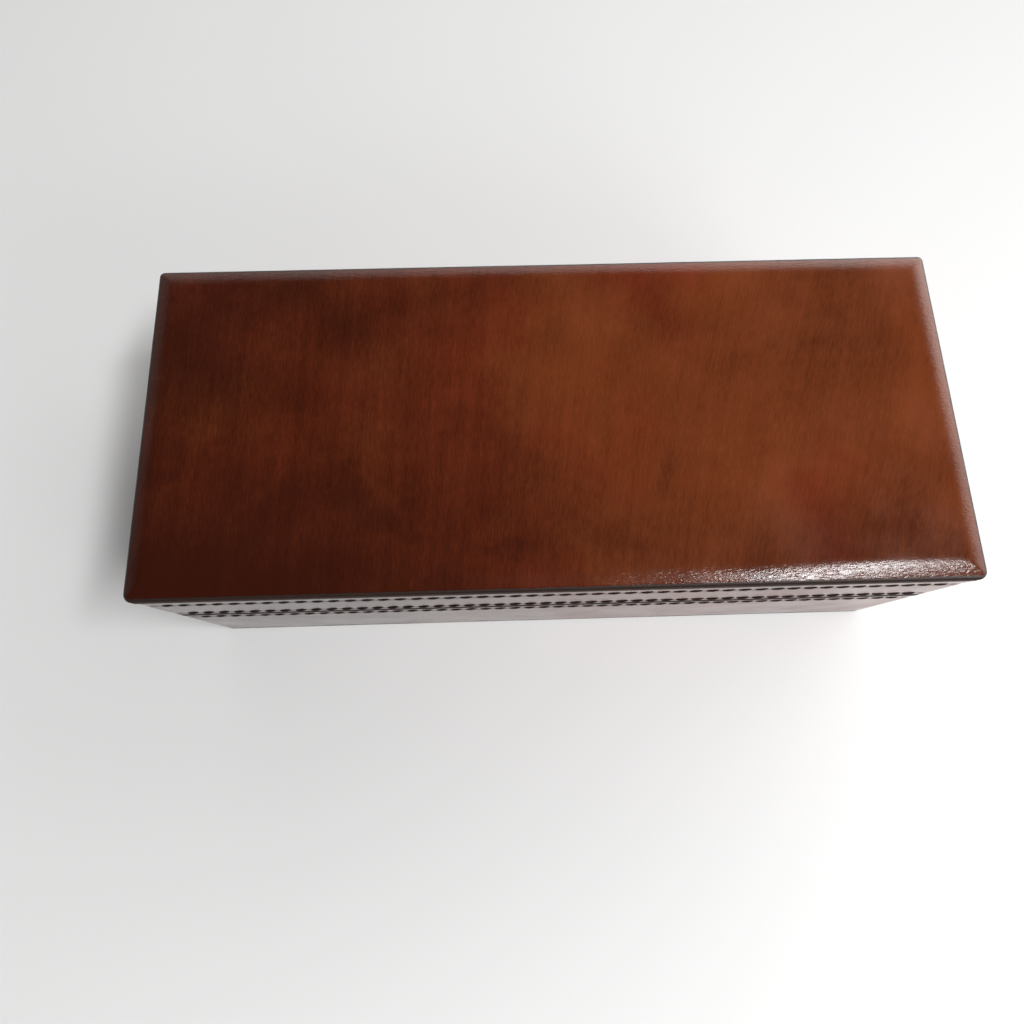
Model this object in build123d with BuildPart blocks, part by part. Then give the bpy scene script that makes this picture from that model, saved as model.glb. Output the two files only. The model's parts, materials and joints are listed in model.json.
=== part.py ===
"""Hard eyeglasses case: a stitched leather box with a padded lid on a leather hinge.

Two board carcasses, a deep base and a shallower lid, are covered in leather and lined in suede.
One leather panel covers both back walls and bends where they meet, so it is the outside of the
hinge. The inside is a suede strip that dips into the gutter between the back boards, so that
it has the length to open. Four bar magnets hold the lid shut.

+Z is up, +X runs along the case and the front is -Y. The origin is the middle of the underside.
"""

import os

from build123d import *

# Overall sizes
case_length = 165.0  # along X, over the wall leather
case_width = 71.0  # along Y, over the wall leather
case_height = 51.0
parting_height = 29.8  # of the line where lid and base meet
rim_gap = 0.2  # between the two rims when the case is shut
corner_radius = 2.5  # of the upright corners, outside
inner_corner = 0.8  # the least radius of any upright corner

# Thicknesses
wall_leather = 1.3
top_leather = 2.2
bottom_leather = 1.4
board = 2.0
lining = 0.8
foam = 2.0

# The raised field of the lid
crown_rise = 0.8  # of the filler card under the top leather
crown_border = 5.0  # from the outside to the flat of the field
crown_start = 1.0  # from the outside to the foot of the slope
filler_inset = 2.8  # from the outside to the filler card's foot
filler_flat_inset = 5.6  # from the outside to the flat of the filler card
edge_round = 0.6  # on the cut edges of the top and bottom leather
rim_round = 0.4  # on the cut edges of the wall leather

# Stitching
stitch_pitch = 3.25
stitch_length = 2.4
stitch_slant = 18.0  # degrees, each stitch rising to its right
stitch_clear = 3.0  # from a corner to the end of a row
thread_width = 0.7
thread_depth = 0.7
groove_width = 1.6
groove_depth = 0.35
top_row_margin = 3.5  # from the wall's top edge to the top row
lid_row_margin = 3.0  # from the lid's rim to its row
base_row_margin = 3.5  # from the base's rim to its row
seam_row_margin = 3.0  # from the back panel's ends to its upright rows

# Hinge
hinge_width = 140.0  # of the back panel, along X
hinge_gap = 3.6  # between the two back boards
hinge_lap = 6.0  # of the inner strip on each back board
gutter_clear = 0.1  # round the inner strip where it dips between the back boards
hinge_skive = 0.5  # taken off the inside of the back panel at the bend
skive_height = 3.0
butt_gap = 0.1  # beside each end of the back panel

# Pads and magnets
pad_gap = 0.2  # between a pad and the lined walls
magnet_length = 20.0
magnet_thickness = 1.8
magnet_height = 3.0
magnet_round = 0.3
magnet_spread = 90.0  # between the middles of the left and right magnets

# Heights and depths that follow from the sizes above
floor_top = bottom_leather + board
base_rim = parting_height - rim_gap / 2
lid_rim = parting_height + rim_gap / 2
lid_wall_top = case_height - crown_rise - top_leather
lid_board_low = lid_wall_top - board
board_inset = wall_leather
lining_inset = wall_leather + board
cavity_inset = lining_inset + lining
back_outside = case_width / 2
back_board_inside = back_outside - lining_inset
top_row = lid_wall_top - top_row_margin
lid_row = lid_rim + lid_row_margin
base_row = base_rim - base_row_margin
beyond = 1.0  # how far a cutter runs past what it cuts


def case_outline(inset, mode=Mode.ADD):
    """Adds the case's outline, seen from above, drawn in by inset."""
    radius = max(corner_radius - inset, inner_corner)
    RectangleRounded(case_length - 2 * inset, case_width - 2 * inset, radius, mode=mode)


def ring(low, high, outer_inset, inner_inset, mode=Mode.ADD):
    """Adds or cuts a four-sided wall between two heights and two insets."""
    with BuildSketch(Plane.XY.offset(low)) as plan:
        case_outline(outer_inset)
        case_outline(inner_inset, mode=Mode.SUBTRACT)
    extrude(plan.sketch, amount=high - low, mode=mode)


def slab(low, high, inset, mode=Mode.ADD):
    """Adds or cuts a full plate between two heights."""
    with BuildSketch(Plane.XY.offset(low)) as plan:
        case_outline(inset)
    extrude(plan.sketch, amount=high - low, mode=mode)


def frustum(low, high, low_inset, high_inset, mode=Mode.ADD):
    """Adds or cuts a plate whose four sides slope inwards."""
    with BuildSketch(Plane.XY.offset(low)) as foot:
        case_outline(low_inset)
    with BuildSketch(Plane.XY.offset(high)) as flat:
        case_outline(high_inset)
    loft([foot.sketch, flat.sketch], ruled=True, mode=mode)


def block(width, near, far, low, high, mode=Mode.SUBTRACT):
    """Adds or cuts a block centred on x = 0, from near to far along Y."""
    with Locations((0, (near + far) / 2, (low + high) / 2)):
        Box(width, far - near, high - low, mode=mode)


def stitch_groove(height):
    """Cuts the groove that a row of stitches lies in, all the way round."""
    ring(
        height - groove_width / 2,
        height + groove_width / 2,
        -beyond,
        groove_depth,
        mode=Mode.SUBTRACT,
    )


def save(part, name):
    """Labels a finished piece and writes it as one STEP file."""
    part.label = name
    export_step(part, f"parts/{name}.step")


os.makedirs("parts", exist_ok=True)


# ---------------------------------------------------------------- boards

FRONT, BACK, LEFT, RIGHT = "front", "back", "left", "right"
side_board_length = case_width - 2 * lining_inset


def board_outline(side):
    """Adds the plan of one upright board: long boards in front and behind, short ones between."""
    if side in (FRONT, BACK):
        towards = -1 if side == FRONT else 1
        case_outline(board_inset)
        with Locations((0, towards * (case_width / 2 - board_inset - board / 2))):
            Rectangle(case_length, board, mode=Mode.INTERSECT)
    else:
        towards = -1 if side == LEFT else 1
        with Locations((towards * (case_length / 2 - board_inset - board / 2), 0)):
            Rectangle(board, side_board_length)


def magnet_places(height):
    """Places the left and right magnet in the front board, at a given middle height."""
    depth = -(case_width / 2 - board_inset - board / 2)
    return [
        Location((towards * magnet_spread / 2, depth, height)) for towards in (-1, 1)
    ]


def wall_board(side, low, high, rim, magnet_middle):
    """One upright board. The front one is notched for magnets and the back one for the hinge."""
    with BuildPart() as piece:
        with BuildSketch(Plane.XY.offset(low)):
            board_outline(side)
        extrude(amount=high - low)
        if side == FRONT:
            with Locations(magnet_places(magnet_middle)):
                Box(magnet_length, board + beyond, magnet_height, mode=Mode.SUBTRACT)
        if side == BACK:
            notch_low = min(rim, parting_height - hinge_gap / 2)
            notch_high = max(rim, parting_height + hinge_gap / 2)
            block(
                hinge_width,
                back_board_inside - beyond,
                back_outside,
                notch_low,
                notch_high,
            )
    return piece.part


base_board_top = base_rim - lining
lid_board_bottom = lid_rim + lining
base_magnet_middle = base_board_top - magnet_height / 2
lid_magnet_middle = lid_board_bottom + magnet_height / 2

for side in (FRONT, BACK, LEFT, RIGHT):
    save(
        wall_board(side, floor_top, base_board_top, base_board_top, base_magnet_middle),
        f"base_{side}_board",
    )
    save(
        wall_board(
            side, lid_board_bottom, lid_board_low, lid_board_bottom, lid_magnet_middle
        ),
        f"lid_{side}_board",
    )

with BuildPart() as base_bottom_board:
    slab(bottom_leather, floor_top, board_inset)
save(base_bottom_board.part, "base_bottom_board")

with BuildPart() as lid_top_board:
    slab(lid_board_low, lid_wall_top, board_inset)
save(lid_top_board.part, "lid_top_board")

with BuildPart() as lid_top_filler:
    frustum(lid_wall_top, lid_wall_top + crown_rise, filler_inset, filler_flat_inset)
save(lid_top_filler.part, "lid_top_filler")


# ---------------------------------------------------------------- outer leather

with BuildPart() as base_bottom_leather:
    slab(0, bottom_leather, 0)
    fillet(base_bottom_leather.faces().sort_by(Axis.Z)[0].edges(), edge_round)
save(base_bottom_leather.part, "base_bottom_leather")

with BuildPart() as lid_top_leather:
    slab(lid_wall_top, lid_wall_top + top_leather, 0)
    fillet(lid_top_leather.faces().sort_by(Axis.Z)[-1].edges(), edge_round)
    frustum(lid_wall_top + top_leather, case_height, crown_start, crown_border)
    frustum(
        lid_wall_top,
        lid_wall_top + crown_rise,
        filler_inset,
        filler_flat_inset,
        mode=Mode.SUBTRACT,
    )
save(lid_top_leather.part, "lid_top_leather")


def open_back(low, high):
    """Cuts the place of the back panel out of a wall."""
    block(
        hinge_width,
        back_outside - wall_leather - beyond,
        back_outside + beyond,
        low - beyond,
        high + beyond,
    )


with BuildPart() as base_wall_leather:
    ring(bottom_leather, base_rim, 0, wall_leather)
    rim_face = base_wall_leather.faces().sort_by(Axis.Z)[-1]
    fillet(rim_face.outer_wire().edges(), rim_round)
    stitch_groove(base_row)
    open_back(bottom_leather, base_rim)
save(base_wall_leather.part, "base_wall_leather")

with BuildPart() as lid_wall_leather:
    ring(lid_rim, lid_wall_top, 0, wall_leather)
    rim_face = lid_wall_leather.faces().sort_by(Axis.Z)[0]
    fillet(rim_face.outer_wire().edges(), rim_round)
    stitch_groove(lid_row)
    stitch_groove(top_row)
    open_back(lid_rim, lid_wall_top)
save(lid_wall_leather.part, "lid_wall_leather")

panel_width = hinge_width - 2 * butt_gap
seam_row = panel_width / 2 - seam_row_margin  # of the upright rows, either side of x = 0

with BuildPart() as hinge_leather:
    back_inside = back_outside - wall_leather
    block(
        panel_width, back_inside, back_outside, bottom_leather, lid_wall_top, Mode.ADD
    )
    for row in (base_row, lid_row, top_row):
        stitch_groove(row)
    for low, high in ((bottom_leather, base_row), (lid_row, top_row)):
        with Locations(
            (-seam_row, back_outside, (low + high) / 2),
            (seam_row, back_outside, (low + high) / 2),
        ):
            Box(groove_width, 2 * groove_depth, high - low, mode=Mode.SUBTRACT)
    block(
        hinge_width,
        back_inside - beyond,
        back_inside + hinge_skive,
        parting_height - skive_height / 2,
        parting_height + skive_height / 2,
    )
save(hinge_leather.part, "hinge_leather")


# ---------------------------------------------------------------- lining and pads


def hinge_strip_room(low, high):
    """Cuts the place of the hinge's inner strip out of a wall lining."""
    block(
        hinge_width,
        back_board_inside - lining - beyond,
        back_outside,
        low,
        high,
    )


with BuildPart() as base_wall_lining:
    ring(floor_top, base_rim, lining_inset, cavity_inset)
    ring(base_board_top, base_rim, board_inset, cavity_inset)
    hinge_strip_room(parting_height - hinge_lap, base_rim)
save(base_wall_lining.part, "base_wall_lining")

with BuildPart() as lid_wall_lining:
    ring(lid_rim, lid_board_low, lining_inset, cavity_inset)
    ring(lid_rim, lid_board_bottom, board_inset, cavity_inset)
    hinge_strip_room(lid_rim, parting_height + hinge_lap)
save(lid_wall_lining.part, "lid_wall_lining")

gutter_radius = hinge_gap / 2 - gutter_clear
gutter_middle = back_outside - wall_leather - gutter_clear - gutter_radius
loose_face = back_board_inside - lining


def gutter(radius, mode=Mode.ADD):
    """Adds or cuts a round-bottomed channel that opens into the case."""
    with Locations((gutter_middle, parting_height)):
        Circle(radius, mode=mode)
    with Locations(((loose_face + gutter_middle) / 2, parting_height)):
        Rectangle(gutter_middle - loose_face, 2 * radius, mode=mode)


with BuildPart() as hinge_lining:
    with BuildSketch(Plane.YZ.offset(-panel_width / 2)):
        with Locations((back_board_inside - lining / 2, parting_height)):
            Rectangle(lining, 2 * hinge_lap)
        gutter(gutter_radius)
        gutter(gutter_radius - lining, mode=Mode.SUBTRACT)
        with Locations((loose_face - gutter_radius / 2, parting_height)):
            Rectangle(gutter_radius, 2 * gutter_radius, mode=Mode.SUBTRACT)
    extrude(amount=panel_width)
save(hinge_lining.part, "hinge_lining")

pad_inset = cavity_inset + pad_gap
foam_inset = pad_inset + lining
base_foam_top = floor_top + foam
lid_foam_bottom = lid_board_low - foam

with BuildPart() as base_floor_foam:
    slab(floor_top, base_foam_top, foam_inset)
save(base_floor_foam.part, "base_floor_foam")

with BuildPart() as base_floor_lining:
    slab(floor_top, base_foam_top + lining, pad_inset)
    slab(floor_top, base_foam_top, foam_inset, mode=Mode.SUBTRACT)
save(base_floor_lining.part, "base_floor_lining")

with BuildPart() as lid_pad_foam:
    slab(lid_foam_bottom, lid_board_low, foam_inset)
save(lid_pad_foam.part, "lid_pad_foam")

with BuildPart() as lid_pad_lining:
    slab(lid_foam_bottom - lining, lid_board_low, pad_inset)
    slab(lid_foam_bottom, lid_board_low, foam_inset, mode=Mode.SUBTRACT)
save(lid_pad_lining.part, "lid_pad_lining")


# ---------------------------------------------------------------- magnets

for body, middle in (("base", base_magnet_middle), ("lid", lid_magnet_middle)):
    for side, place in zip((LEFT, RIGHT), magnet_places(middle)):
        with BuildPart() as magnet:
            with Locations(place):
                Box(magnet_length, magnet_thickness, magnet_height)
            fillet(magnet.edges().filter_by(Axis.Y), magnet_round)
        save(magnet.part, f"{body}_{side}_magnet")


# ---------------------------------------------------------------- thread


# each wall's outward direction, and the direction that runs to the right along it
WALLS = {
    FRONT: (Vector(0, -1, 0), Vector(1, 0, 0)),
    RIGHT: (Vector(1, 0, 0), Vector(0, 1, 0)),
    BACK: (Vector(0, 1, 0), Vector(-1, 0, 0)),
    LEFT: (Vector(-1, 0, 0), Vector(0, -1, 0)),
}


def wall_length(side):
    """How long one wall is on the outside."""
    return case_length if side in (FRONT, BACK) else case_width


def wall_plane(side, along, height):
    """A plane at the foot of the stitch groove on one wall, looking outwards."""
    outwards, rightwards = WALLS[side]
    reach = (case_width if side in (FRONT, BACK) else case_length) / 2 - groove_depth
    middle = outwards * reach + rightwards * along + Vector(0, 0, height)
    return Plane(origin=middle, x_dir=rightwards, z_dir=outwards)


def stitches(plane, count, rotation):
    """Adds a row of stitches, each a flat round-ended bar, centred on the plane's origin."""
    across, up = (count, 1) if rotation == 0 else (1, count)
    with BuildSketch(plane) as flat_row:
        with GridLocations(stitch_pitch, stitch_pitch, across, up):
            SlotOverall(stitch_length, thread_width, rotation=rotation + stitch_slant)
    extrude(flat_row.sketch, amount=thread_depth)


def stitch_count(length):
    """How many stitches a stretch of that length takes."""
    return int(length / stitch_pitch)


def thread_row(height):
    """One row of stitches round all four walls, in a single node."""
    with BuildPart() as row:
        for side in WALLS:
            count = stitch_count(wall_length(side) - 2 * stitch_clear)
            stitches(wall_plane(side, 0, height), count, 0)
    return row.part


def seam_rows(low, high):
    """The two upright rows at the back panel's ends, between two other rows."""
    count = stitch_count(high - low - stitch_pitch)
    with BuildPart() as rows:
        for along in (-seam_row, seam_row):
            stitches(wall_plane(BACK, along, (low + high) / 2), count, 90)
    return rows.part


save(thread_row(base_row), "base_rim_thread")
save(thread_row(lid_row), "lid_rim_thread")
save(thread_row(top_row), "lid_top_thread")
save(seam_rows(bottom_leather, base_row), "base_seam_thread")
save(seam_rows(lid_row, top_row), "lid_seam_thread")
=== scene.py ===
"""Looks for a stitched leather eyeglasses case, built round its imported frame.

Each operator makes one piece of the case or one group of like pieces. All lengths are in metres.
+X runs along the case, the front faces -Y and +Z is up.
"""

import json
import math
import random

import bmesh
import bpy
from bpy.props import FloatProperty, FloatVectorProperty, PointerProperty
from mathutils import Matrix, Vector, noise
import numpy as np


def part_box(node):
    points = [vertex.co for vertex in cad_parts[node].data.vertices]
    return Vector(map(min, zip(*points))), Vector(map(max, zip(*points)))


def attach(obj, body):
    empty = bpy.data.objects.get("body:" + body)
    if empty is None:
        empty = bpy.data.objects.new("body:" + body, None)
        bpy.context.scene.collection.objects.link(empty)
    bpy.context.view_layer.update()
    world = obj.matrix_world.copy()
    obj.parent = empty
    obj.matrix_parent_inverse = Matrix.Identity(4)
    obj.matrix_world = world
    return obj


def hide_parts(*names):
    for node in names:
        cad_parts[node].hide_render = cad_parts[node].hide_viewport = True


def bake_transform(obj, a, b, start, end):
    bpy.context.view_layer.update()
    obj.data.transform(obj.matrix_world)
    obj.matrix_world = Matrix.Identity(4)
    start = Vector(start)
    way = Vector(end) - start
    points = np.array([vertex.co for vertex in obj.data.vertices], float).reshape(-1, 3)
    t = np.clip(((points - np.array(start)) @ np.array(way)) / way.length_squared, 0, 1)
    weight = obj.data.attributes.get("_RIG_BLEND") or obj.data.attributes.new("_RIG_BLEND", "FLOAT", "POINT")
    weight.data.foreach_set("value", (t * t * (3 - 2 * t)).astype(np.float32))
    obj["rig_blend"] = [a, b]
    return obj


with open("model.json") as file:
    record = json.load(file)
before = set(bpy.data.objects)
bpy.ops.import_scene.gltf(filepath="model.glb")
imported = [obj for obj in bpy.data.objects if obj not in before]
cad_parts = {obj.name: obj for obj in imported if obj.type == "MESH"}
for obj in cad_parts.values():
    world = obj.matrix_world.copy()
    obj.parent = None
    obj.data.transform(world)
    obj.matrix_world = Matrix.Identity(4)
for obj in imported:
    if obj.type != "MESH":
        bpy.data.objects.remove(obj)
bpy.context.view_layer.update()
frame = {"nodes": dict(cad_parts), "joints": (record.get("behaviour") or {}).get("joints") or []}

bl_info = {
    "name": "Stitched Leather Eyeglasses Case",
    "version": (1, 0, 0),
    "blender": (4, 5, 0),
    "location": "3D View > Sidebar > Eyeglasses Case",
    "description": "Builds the leathers, linings, pads and stitching of a hinged eyeglasses case",
    "category": "Add Mesh",
}

MM = 0.001

# What the frame says about where things are
TOP_LOW, TOP_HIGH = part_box("lid_top_leather")
SOLE_LOW, SOLE_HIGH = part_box("base_bottom_leather")
BASE_LOW, BASE_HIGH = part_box("base_wall_leather")
LID_LOW, LID_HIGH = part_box("lid_wall_leather")
PANEL_LOW, PANEL_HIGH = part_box("hinge_leather")
STRIP_LOW, STRIP_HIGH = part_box("hinge_lining")
FILLER_LOW, FILLER_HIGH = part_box("lid_top_filler")
BASE_LINING_LOW, BASE_LINING_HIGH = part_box("base_wall_lining")
LID_LINING_LOW, LID_LINING_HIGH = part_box("lid_wall_lining")
FLOOR_PAD_LOW, FLOOR_PAD_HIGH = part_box("base_floor_lining")
LID_PAD_LOW, LID_PAD_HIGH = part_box("lid_pad_lining")
BACK_BOARD_LOW, BACK_BOARD_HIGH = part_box("base_back_board")

HALF_LENGTH = BASE_HIGH.x
HALF_WIDTH = BASE_HIGH.y
WALL_LEATHER = PANEL_HIGH.y - PANEL_LOW.y
BOARD = BACK_BOARD_HIGH.y - BACK_BOARD_LOW.y
LINING_INSET = WALL_LEATHER + BOARD
PARTING = frame["joints"][0]["pos_m"][2]
GAP_HALF = PANEL_HIGH.x + 0.1 * MM  # from the middle to the end of the wall leathers' opening
SUEDE = HALF_WIDTH - LINING_INSET - STRIP_LOW.y
SUEDE_FACE = LINING_INSET + SUEDE
BEND_HALF = 1.9 * MM  # the hinge pieces bend this far below and above the parting line
SAME_PLACE = 1e-6  # points closer than this count as one


def middle_height(name):
    """The height of the middle of a CAD node."""
    low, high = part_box(name)
    return (low.z + high.z) / 2


BASE_ROW = middle_height("base_rim_thread")
LID_ROW = middle_height("lid_rim_thread")
TOP_ROW = middle_height("lid_top_thread")

# Each wall's outward direction, and the direction that runs to the right along it
WALLS = {
    "front": (Vector((0, -1, 0)), Vector((1, 0, 0))),
    "right": (Vector((1, 0, 0)), Vector((0, 1, 0))),
    "back": (Vector((0, 1, 0)), Vector((-1, 0, 0))),
    "left": (Vector((-1, 0, 0)), Vector((0, -1, 0))),
}


def length_prop(name, description, millimetres, low=0.0):
    """A length, given in millimetres and kept in metres."""
    return FloatProperty(
        name=name, description=description, default=millimetres * MM, min=low, unit="LENGTH", precision=5
    )


def number_prop(name, description, default, low=0):
    """A plain number."""
    return FloatProperty(name=name, description=description, default=default, min=low)


def share_prop(name, description, default):
    """A share from 0 to 1."""
    return FloatProperty(name=name, description=description, default=default, min=0, max=1, subtype="FACTOR")


def colour_prop(name, description, default):
    """A linear colour."""
    return FloatVectorProperty(
        name=name, description=description, default=default, size=3, min=0, max=1, subtype="COLOR"
    )


def angle_prop(name, description, degrees):
    """An angle, given in degrees and kept in radians."""
    return FloatProperty(name=name, description=description, default=math.radians(degrees), subtype="ANGLE")


class CaseLeather(bpy.types.PropertyGroup):
    """Sizes and colours of the outer leathers."""

    corner_radius: length_prop("Corner Radius", "Radius of the upright corners", 2.5)
    edge_round: length_prop("Edge Round", "Rounding of the painted edges of the top and the sole", 0.6)
    rim_round: length_prop("Rim Round", "Rounding of the walls' rims", 0.45)
    border: length_prop("Border", "Width of the sloping border round the raised field", 4.6)
    border_drop: length_prop("Border Drop", "How far the border falls from the field to the edge", 0.88)
    border_power: number_prop("Border Power", "1 is a flat slope, and more is a rounder one", 1.9, 1)
    front_corner: length_prop("Front Corner", "Radius of the top's two front corners", 1.7)
    back_corner: length_prop("Back Corner", "Radius of the top's two corners over the hinge", 1.2)
    waviness: length_prop("Waviness", "How far the cut edges wander", 0.08)
    paint_reach: length_prop("Paint Reach", "How far the paint runs in over the top and the sole", 0.9)
    rim_paint: length_prop("Rim Paint", "How far the paint runs over the walls from their rims", 1.5)
    swell: length_prop("Swell", "How far the raised field rises and falls", 0.1)
    # Painted light: the light brown is greyed a little to stand in for a sheen, and the dark brown also
    # stands in for shade towards the case's left end and front.
    light: colour_prop("Light Brown", "Where the dye is thin", (0.192, 0.0445, 0.0125))
    red: colour_prop("Red Brown", "Where the dye is thin and ruddy", (0.178, 0.031, 0.0095))
    dark: colour_prop("Dark Brown", "Where the dye is thick", (0.037, 0.0068, 0.0030))
    paint: colour_prop("Edge Paint", "The painted edges", (0.019, 0.0092, 0.0062))
    roughness: share_prop("Roughness", "Roughness of the glazed surface", 0.17)


class CaseStitching(bpy.types.PropertyGroup):
    """Sizes and colour of the stitching."""

    pitch: length_prop("Pitch", "From one stitch to the next", 3.25, 0.5 * MM)
    stitch: length_prop("Stitch Length", "Visible length of a stitch", 2.85)
    clear: length_prop("Corner Clearance", "From a corner to the end of a row", 3.0)
    thread: length_prop("Thread", "Thickness of the thread", 0.56)
    proud: length_prop("Proud", "How far a stitch stands out of the leather", 0.20)
    bold: length_prop("Bold", "How much further the row over the opening stands out", 0.08)
    slant: angle_prop("Slant", "How far each stitch leans from its row", 18)
    seam_margin: length_prop("Seam Margin", "From the back panel's end to its upright row", 3.0)
    groove: length_prop("Groove", "How deep a row pulls the leather in", 0.24)
    pucker: length_prop("Pucker", "How much more it is pulled in under a stitch", 0.14)
    groove_reach: length_prop("Groove Reach", "Half width of the pulled-in leather", 0.75)
    colour: colour_prop("Thread Colour", "Waxed dark brown thread", (0.024, 0.011, 0.008))


class CaseLining(bpy.types.PropertyGroup):
    """Sizes and colour of the suede linings and pads."""

    corner: length_prop("Lining Corner", "Radius of the lining's upright corners, inside", 0.9)
    turn: length_prop("Turn", "Rounding where the lining turns over the rim", 0.35)
    swell: length_prop("Swell", "How uneven the glued suede lies", 0.06)
    pad_rise: length_prop("Pad Rise", "The most that a pad's cover may rise", 0.9)
    pad_cell: length_prop("Pad Cell", "Size of the pad cover's mesh cells", 2.4)
    pressure: number_prop("Pressure", "What the foam pushes with", 2.5)
    colour: colour_prop("Suede Colour", "Brushed suede", (0.255, 0.140, 0.070))
    shade: colour_prop("Suede Shade", "The nap brushed the other way", (0.170, 0.088, 0.042))


class CaseStage(bpy.types.PropertyGroup):
    """The floor, the lights and the camera."""

    lens: number_prop("Lens", "Focal length on a 36 mm sensor", 24.51, 1)
    camera_place: FloatVectorProperty(
        name="Camera Place", description="Where the camera stands", size=3, unit="LENGTH",
        default=(-10.284 * MM, -55.066 * MM, 181.567 * MM),
    )
    camera_turn: FloatVectorProperty(
        name="Camera Turn", description="The camera's tilt, roll and heading", size=3, subtype="EULER",
        default=tuple(math.radians(a) for a in (15.04, -0.35, -1.635)),
    )
    floor: colour_prop("Floor", "The pale floor", (0.88, 0.88, 0.88))
    floor_size: length_prop("Floor Size", "Length of the floor's sides", 6000)
    ceiling: number_prop("Ceiling", "Strength of the light from above", 0.03)
    horizon: number_prop("Horizon", "Strength of the light from low down", 1.4)
    key: number_prop("Key", "Power of the window light, in watts", 4.5)
    fill: number_prop("Fill", "Power of the front light, in watts", 0.55)


# ---- materials


def settings(group):
    """The scene's settings in one group."""
    return getattr(bpy.context.scene, "case_" + group)


class Nodes:
    """A short way to lay out the nodes of a material or a world."""

    def __init__(self, owner, shader, coordinates):
        owner.use_nodes = True
        self.tree = owner.node_tree
        self.shader = self.tree.nodes[shader]
        self.where = self.add("ShaderNodeTexCoord").outputs[coordinates]

    def add(self, kind, inputs=None, **settings):
        """Adds a node, with its settings and with each input linked or set."""
        node = self.tree.nodes.new(kind)
        for key, value in settings.items():
            setattr(node, key, value)
        for key, value in (inputs or {}).items():
            self.feed(node.inputs[key], value)
        return node

    def feed(self, socket, value):
        """Links an output to a socket, or sets the socket's own value."""
        if isinstance(value, bpy.types.NodeSocket):
            self.tree.links.new(value, socket)
        else:
            socket.default_value = value

    def apart(self):
        """The X, Y and Z of the coordinates."""
        return self.add("ShaderNodeSeparateXYZ", {"Vector": self.where}).outputs

    def set(self, **values):
        """Feeds the shader: coat_weight=0.2 sets Coat Weight."""
        for key, value in values.items():
            socket = self.shader.inputs[key.replace("_", " ").title().replace("Ior", "IOR")]
            self.feed(socket, value)

    def attribute(self, name):
        """A number that the mesh holds at each point."""
        return self.add("ShaderNodeAttribute", attribute_name=name).outputs["Fac"]

    def stretched(self, scale, turn=(0, 0, 0)):
        """The object's coordinates, stretched and turned."""
        return self.add(
            "ShaderNodeMapping", {"Vector": self.where, "Scale": scale, "Rotation": turn}
        ).outputs["Vector"]

    def point(self, x, y):
        """A vector made of two numbers."""
        return self.add("ShaderNodeCombineXYZ", {"X": x, "Y": y}).outputs["Vector"]

    def noise(self, scale, detail=3.0, roughness=0.5, where=None, distortion=0.0):
        """Cloudy noise, 0 to 1."""
        inputs = {
            "Vector": where or self.where, "Scale": scale, "Detail": detail,
            "Roughness": roughness, "Distortion": distortion,
        }
        return self.add("ShaderNodeTexNoise", inputs).outputs["Fac"]

    def cells(self, scale, feature="F1", output="Distance"):
        """Voronoi cells."""
        inputs = {"Vector": self.where, "Scale": scale}
        return self.add("ShaderNodeTexVoronoi", inputs, feature=feature).outputs[output]

    def math(self, operation, a, b=0.0):
        """One sum on numbers."""
        return self.add("ShaderNodeMath", {0: a, 1: b}, operation=operation).outputs[0]

    def plus(self, a, b):
        return self.math("ADD", a, b)

    def times(self, a, b):
        return self.math("MULTIPLY", a, b)

    def blend(self, *terms):
        """Adds up values, each times its weight."""
        total = None
        for value, weight in terms:
            part = self.times(value, weight)
            total = self.plus(total, part) if total else part
        return total

    def ramp(self, value, low, high, out_low=0.0, out_high=1.0):
        """Moves a value smoothly from one range to another, and stops at its ends."""
        inputs = {"Value": value, "From Min": low, "From Max": high, "To Min": out_low, "To Max": out_high}
        return self.add("ShaderNodeMapRange", inputs, interpolation_type="SMOOTHSTEP").outputs["Result"]

    def mix(self, share, a, b):
        """Mixes two colours."""
        node = self.add("ShaderNodeMix", data_type="RGBA")
        self.feed(node.inputs["Factor"], share)
        self.feed(node.inputs["A"], rgba(a))
        self.feed(node.inputs["B"], rgba(b))
        return node.outputs["Result"]

    def bump(self, height, distance, strength=1.0, normal=None):
        """Turns a height into a normal."""
        inputs = {"Height": height, "Distance": distance, "Strength": strength}
        if normal is not None:
            inputs["Normal"] = normal
        return self.add("ShaderNodeBump", inputs).outputs["Normal"]


def rgba(colour):
    """A colour with its alpha, or an output as it is."""
    return colour if isinstance(colour, bpy.types.NodeSocket) else (*colour[:3], 1.0)


def finish(lay_out):
    """Makes a material from a function that lays out its nodes, once, so that pieces share it."""
    made = []

    def kept():
        if not made:
            made.append(bpy.data.materials.new(lay_out.__name__))
            lay_out(Nodes(made[0], "Principled BSDF", "Object"))
        return made[0]

    return kept


RAW_LEATHER = (0.45, 0.30, 0.18)  # shows in a few specks
STROKE_STRETCH = 0.05  # the brush strokes are 20 times as long as they are wide


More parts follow.
